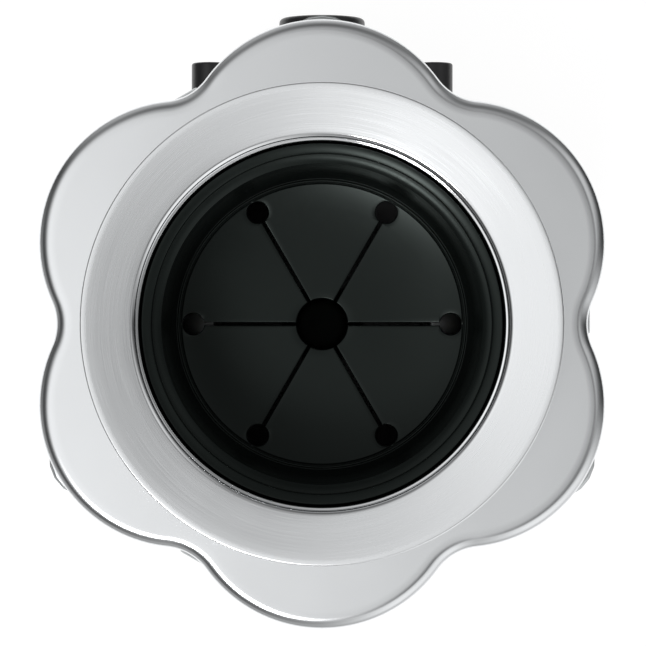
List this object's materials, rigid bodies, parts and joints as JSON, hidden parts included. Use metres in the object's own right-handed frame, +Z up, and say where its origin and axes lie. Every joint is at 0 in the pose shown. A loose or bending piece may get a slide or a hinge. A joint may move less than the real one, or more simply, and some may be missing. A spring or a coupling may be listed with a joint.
{
  "type": "kitchen garbage disposal",
  "caption": "Under-sink food waste disposal with a drain flange, rubber splash baffle, lobed twist-lock mounting ring, grinding chamber and motor.",
  "frame": {"origin": "on the drain axis, in the plane of the sink's top surface, under the drain flange's gasket", "axes": "+Z up along the drain and motor axis; +Y towards the dishwasher inlet and the discharge outlet; +X to the right, seen from above"},
  "size_m": [0.1446, 0.1542, 0.3156],
  "materials": {
    "stainless_flange": "circular brushed stainless steel",
    "satin_steel": "satin nickel-plated pressed steel",
    "zinc_steel": "bright zinc-plated steel",
    "stainless_grind": "plain stainless steel",
    "baffle_rubber": "smooth semi-gloss moulded rubber",
    "seal_rubber": "matt moulded rubber",
    "fiber": "pressed fibre board",
    "black_plastic": "fine-grained moulded plastic",
    "red_plastic": "smooth moulded plastic",
    "motor_steel": "passivated steel",
    "bearing_steel": "ground bearing steel",
    "ferrite": "pressed ferrite",
    "copper": "varnished copper",
    "carbon": "pressed carbon",
    "brass": "stamped brass",
    "laminate": "phenolic laminate",
    "green_screw": "green zinc-plated steel"
  },
  "bodies": {
    "disposal_body": {"sink_flange": "stainless_flange", "upper_mounting_ring": "satin_steel", "backup_flange": "zinc_steel", "snap_ring": "zinc_steel", "hopper_screw_1": "zinc_steel", "hopper_screw_2": "zinc_steel", "hopper_screw_3": "zinc_steel", "hopper_screw_4": "zinc_steel", "through_bolt_1": "zinc_steel", "through_bolt_2": "zinc_steel", "cover_screw_1": "zinc_steel", "cover_screw_2": "zinc_steel", "cover_screw_3": "zinc_steel", "wiring_cover": "zinc_steel", "wiring_cover_screw": "zinc_steel", "brush_spring_1": "zinc_steel", "brush_spring_2": "zinc_steel", "grind_ring": "stainless_grind", "flange_gasket": "seal_rubber", "mounting_gasket": "seal_rubber", "hopper_seal": "seal_rubber", "shaft_seal": "seal_rubber", "cord_bushing": "seal_rubber", "fiber_gasket": "fiber", "hopper": "black_plastic", "dishwasher_plug": "black_plastic", "discharge_chamber": "black_plastic", "motor_housing": "black_plastic", "bottom_cover": "black_plastic", "overload_protector": "black_plastic", "rectifier": "black_plastic", "motor_can": "motor_steel", "lower_end_frame": "motor_steel", "upper_bearing": "bearing_steel", "lower_bearing": "bearing_steel", "magnet_1": "ferrite", "magnet_2": "ferrite", "brush_1": "carbon", "brush_2": "carbon", "brush_holder_1": "brass", "brush_holder_2": "brass", "brush_card": "laminate", "ground_screw": "green_screw"},
    "rotor": {"turntable": "stainless_grind", "lug_rivet_1": "zinc_steel", "lug_rivet_2": "zinc_steel", "turntable_nut": "zinc_steel", "hub_cap": "seal_rubber", "motor_shaft": "bearing_steel", "armature_core": "motor_steel", "armature_windings": "copper", "commutator": "copper"},
    "lug_1": {"impeller_lug_1": "stainless_grind"},
    "lug_2": {"impeller_lug_2": "stainless_grind"},
    "lock_ring": {"lower_mounting_ring": "zinc_steel"},
    "jack_screw_1": {"mounting_screw_1": "zinc_steel"},
    "jack_screw_2": {"mounting_screw_2": "zinc_steel"},
    "jack_screw_3": {"mounting_screw_3": "zinc_steel"},
    "baffle": {"splash_baffle": "baffle_rubber"},
    "reset": {"reset_button": "red_plastic"}
  },
  "joints": [
    {"name": "rotor_spin", "type": "hinge", "parent": "disposal_body", "child": "rotor", "pos_m": [0, 0, -0.12], "axis": [0, 0, 1], "continuous": true},
    {"name": "lug_1_swivel", "type": "hinge", "parent": "rotor", "child": "lug_1", "pos_m": [0.034, 0, -0.117], "axis": [0, 0, 1], "continuous": true},
    {"name": "lug_2_swivel", "type": "hinge", "parent": "rotor", "child": "lug_2", "pos_m": [-0.034, 0, -0.117], "axis": [0, 0, 1], "continuous": true},
    {"name": "lock_ring_twist", "type": "hinge", "parent": "disposal_body", "child": "lock_ring", "pos_m": [0, 0, -0.0475], "axis": [0, 0, 1], "range_deg": [0, 28]},
    {"name": "jack_screw_1_travel", "type": "slide", "parent": "disposal_body", "child": "jack_screw_1", "axis": [0, 0, 1], "range_m": [-0.006, 0]},
    {"name": "jack_screw_2_travel", "type": "slide", "parent": "disposal_body", "child": "jack_screw_2", "axis": [0, 0, 1], "range_m": [-0.006, 0]},
    {"name": "jack_screw_3_travel", "type": "slide", "parent": "disposal_body", "child": "jack_screw_3", "axis": [0, 0, 1], "range_m": [-0.006, 0]},
    {"name": "baffle_lift", "type": "slide", "parent": "disposal_body", "child": "baffle", "axis": [0, 0, 1], "range_m": [0, 0.06]},
    {"name": "reset_button_travel", "type": "slide", "parent": "disposal_body", "child": "reset", "axis": [0, 0, -1], "range_m": [0, 0.0025]}
  ]
}
